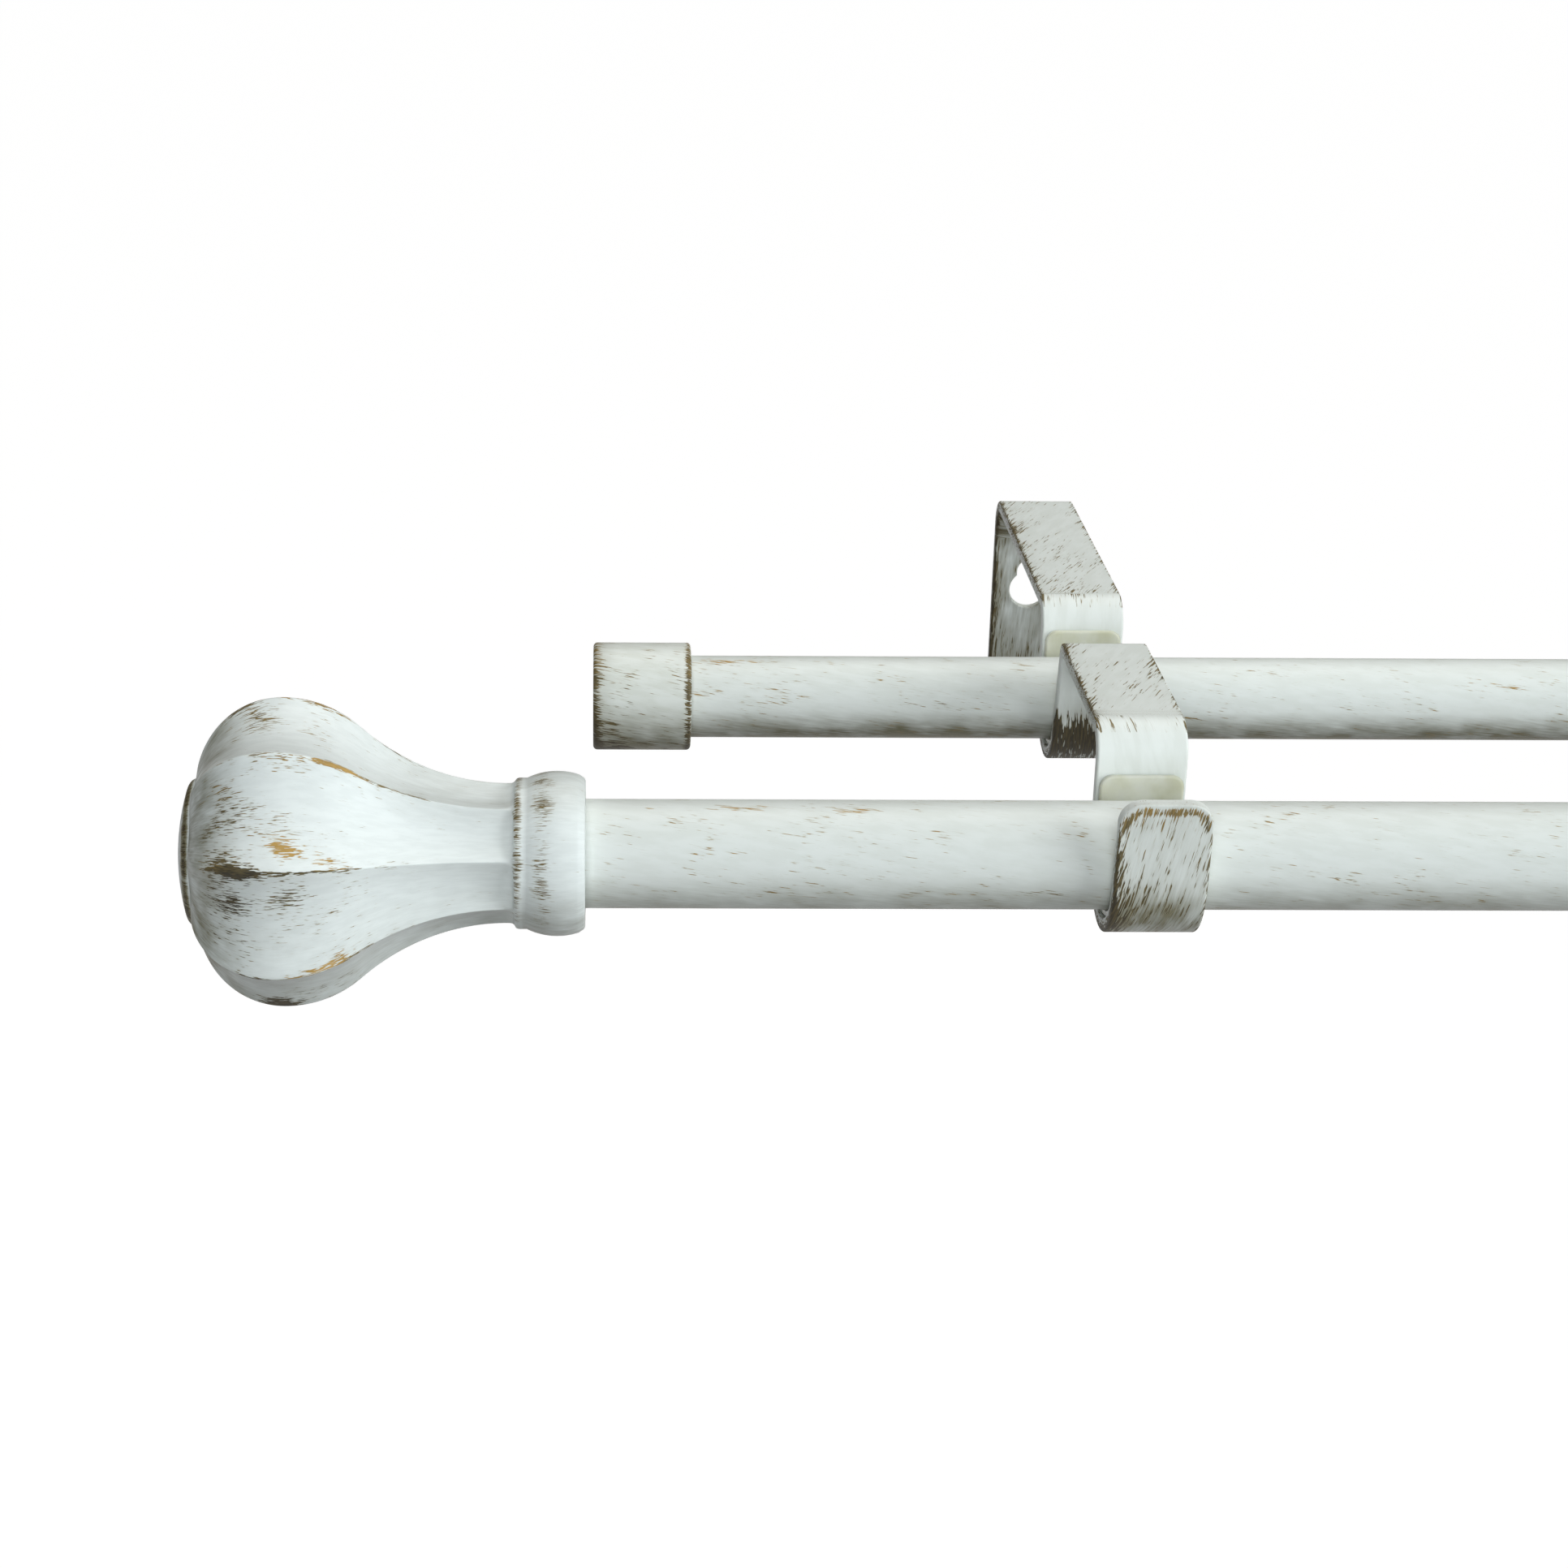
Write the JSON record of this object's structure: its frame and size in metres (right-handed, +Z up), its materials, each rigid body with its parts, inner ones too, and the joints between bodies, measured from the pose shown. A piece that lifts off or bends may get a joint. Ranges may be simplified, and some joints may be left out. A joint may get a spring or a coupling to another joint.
{
  "type": "double curtain pole",
  "caption": "Double curtain pole in distressed white: thick front tube with fluted finials and thinner capped back tube, both lying in the cups of folded strip brackets on a wall.",
  "frame": {"origin": "on the wall plane, midway between the brackets, level with their lower screw holes", "axes": "+X along the tubes, +Y into the wall, +Z up; the room and the front tube are at negative Y"},
  "size_m": [1.1004, 0.1853, 0.0568],
  "materials": {
    "painted_steel": "satin antique-white paint brushed thinly over a bronze-brown base, worn brown along edges and in short streaks",
    "painted_resin": "cast body under the same antique-white paint, worn gold-brown along the ridges, the step ring and the end button",
    "liner_plastic": "milky cream translucent moulded plastic",
    "screw_steel": "plain dark steel"
  },
  "bodies": {
    "root": {"front_rod": "painted_steel", "back_rod": "painted_steel", "finial_left": "painted_resin", "finial_right": "painted_resin", "finial_screw_left": "screw_steel", "finial_screw_right": "screw_steel", "rod_cap_left": "painted_steel", "rod_cap_right": "painted_steel", "bracket_left": "painted_steel", "bracket_right": "painted_steel", "front_liner_left": "liner_plastic", "front_liner_right": "liner_plastic", "back_liner_left": "liner_plastic", "back_liner_right": "liner_plastic"}
  },
  "joints": []
}
